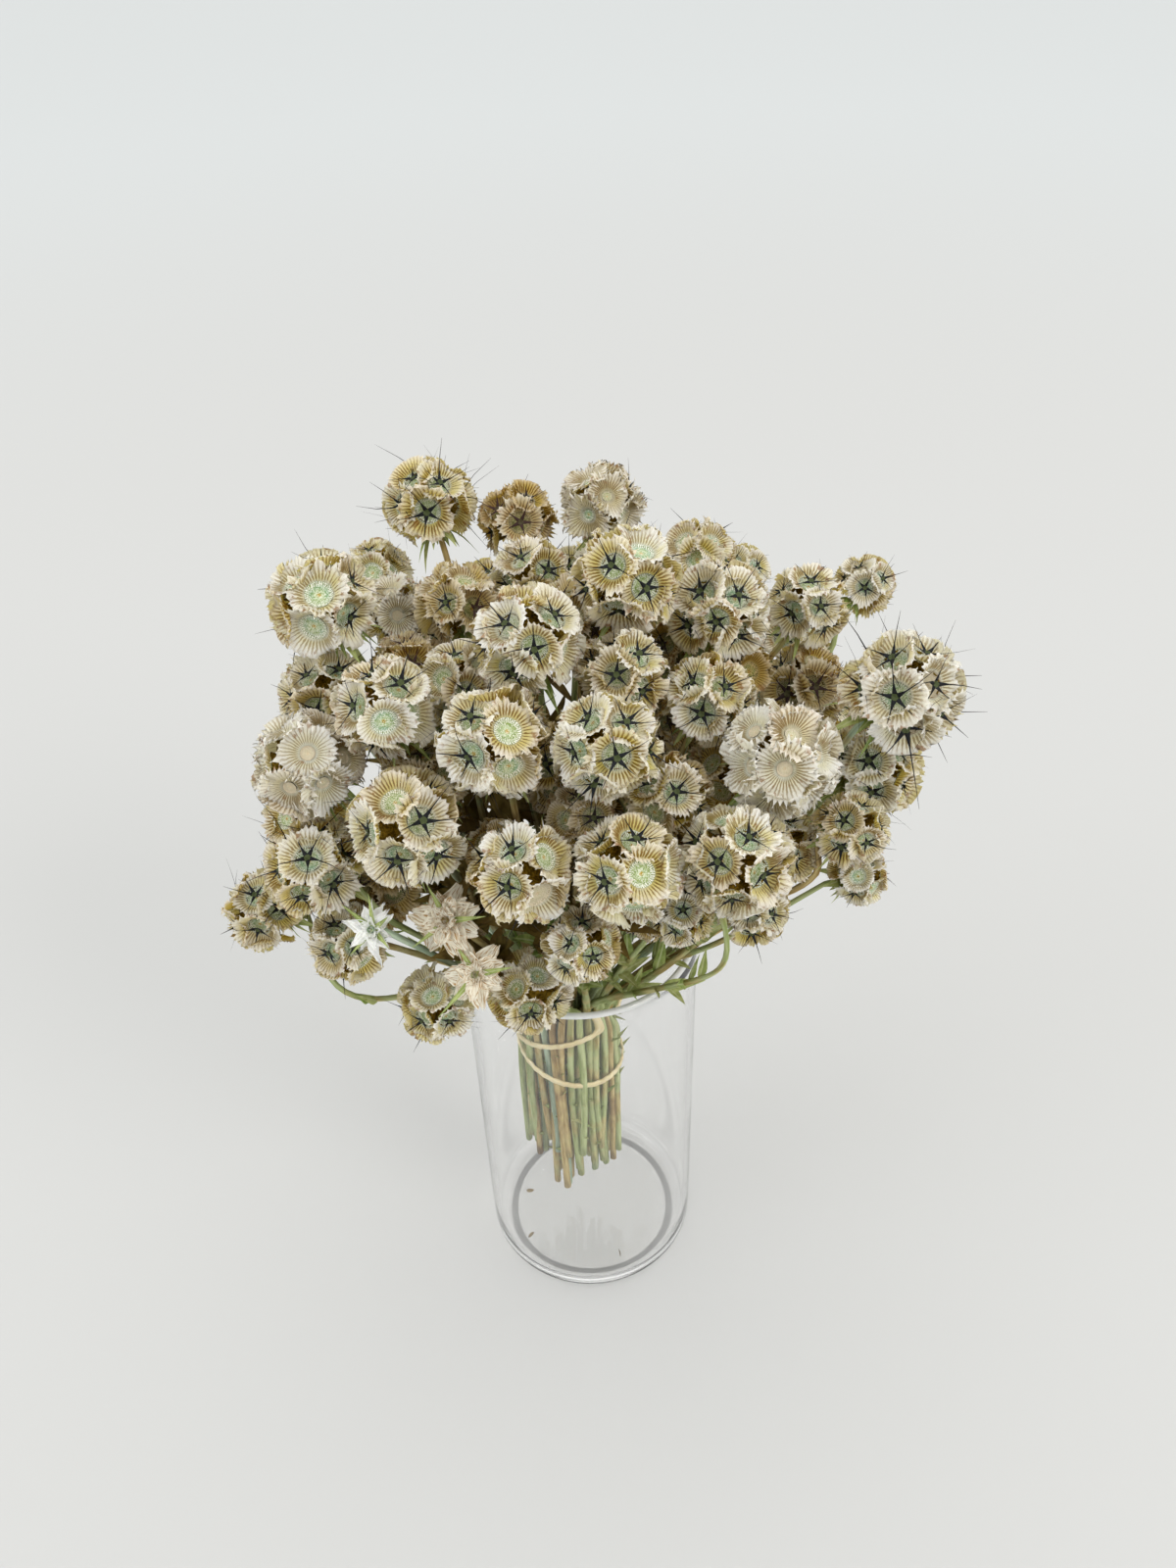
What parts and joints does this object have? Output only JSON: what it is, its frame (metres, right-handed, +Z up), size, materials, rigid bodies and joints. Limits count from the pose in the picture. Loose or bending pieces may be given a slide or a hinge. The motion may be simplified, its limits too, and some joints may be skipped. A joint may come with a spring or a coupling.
{
  "type": "dried scabiosa pods in a glass vase",
  "caption": "Bunch of globe-shaped dried starflower seed heads on thin stems, bound with a rubber band and leaning in a clear glass cylinder vase.",
  "frame": {"origin": "centre of the vase's flat underside, on the surface it stands on", "axes": "+Z up along the vase's axis, -Y towards the viewer of the picture, +X to the viewer's right"},
  "size_m": [0.2645, 0.2151, 0.3778],
  "materials": {
    "glass": "clear polished glass",
    "dried_green": "dry matt plant stems, bracts and leaves",
    "rubber": "natural tan rubber, satin",
    "papery_seed_cups": "dry translucent ribbed seed membranes"
  },
  "bodies": {
    "root": {"vase": "glass", "stems": "dried_green", "rubber_band": "rubber", "head_01": "papery_seed_cups", "head_02": "papery_seed_cups", "head_03": "papery_seed_cups", "head_04": "papery_seed_cups", "head_05": "papery_seed_cups", "head_06": "papery_seed_cups", "head_07": "papery_seed_cups", "head_08": "papery_seed_cups", "head_09": "papery_seed_cups", "head_10": "papery_seed_cups", "head_11": "papery_seed_cups", "head_12": "papery_seed_cups", "head_13": "papery_seed_cups", "head_14": "papery_seed_cups", "head_15": "papery_seed_cups", "head_16": "papery_seed_cups", "head_17": "papery_seed_cups", "head_18": "papery_seed_cups", "head_19": "papery_seed_cups", "head_20": "papery_seed_cups", "head_21": "papery_seed_cups", "head_22": "papery_seed_cups", "head_23": "papery_seed_cups", "head_24": "papery_seed_cups", "head_25": "papery_seed_cups", "head_26": "papery_seed_cups", "head_27": "papery_seed_cups", "head_28": "papery_seed_cups", "head_29": "papery_seed_cups", "head_30": "papery_seed_cups", "head_31": "papery_seed_cups", "head_32": "papery_seed_cups", "head_33": "papery_seed_cups", "head_34": "papery_seed_cups", "head_35": "papery_seed_cups", "head_36": "papery_seed_cups", "head_37": "papery_seed_cups", "head_38": "papery_seed_cups", "head_39": "papery_seed_cups", "head_40": "papery_seed_cups", "head_41": "papery_seed_cups", "head_42": "papery_seed_cups", "head_43": "papery_seed_cups", "head_44": "papery_seed_cups", "head_45": "papery_seed_cups", "head_46": "papery_seed_cups", "head_47": "papery_seed_cups", "head_48": "papery_seed_cups", "head_49": "papery_seed_cups", "head_50": "papery_seed_cups", "head_51": "papery_seed_cups", "head_52": "papery_seed_cups", "head_53": "papery_seed_cups", "head_54": "papery_seed_cups", "head_55": "papery_seed_cups", "head_56": "papery_seed_cups", "head_57": "papery_seed_cups"}
  },
  "joints": []
}
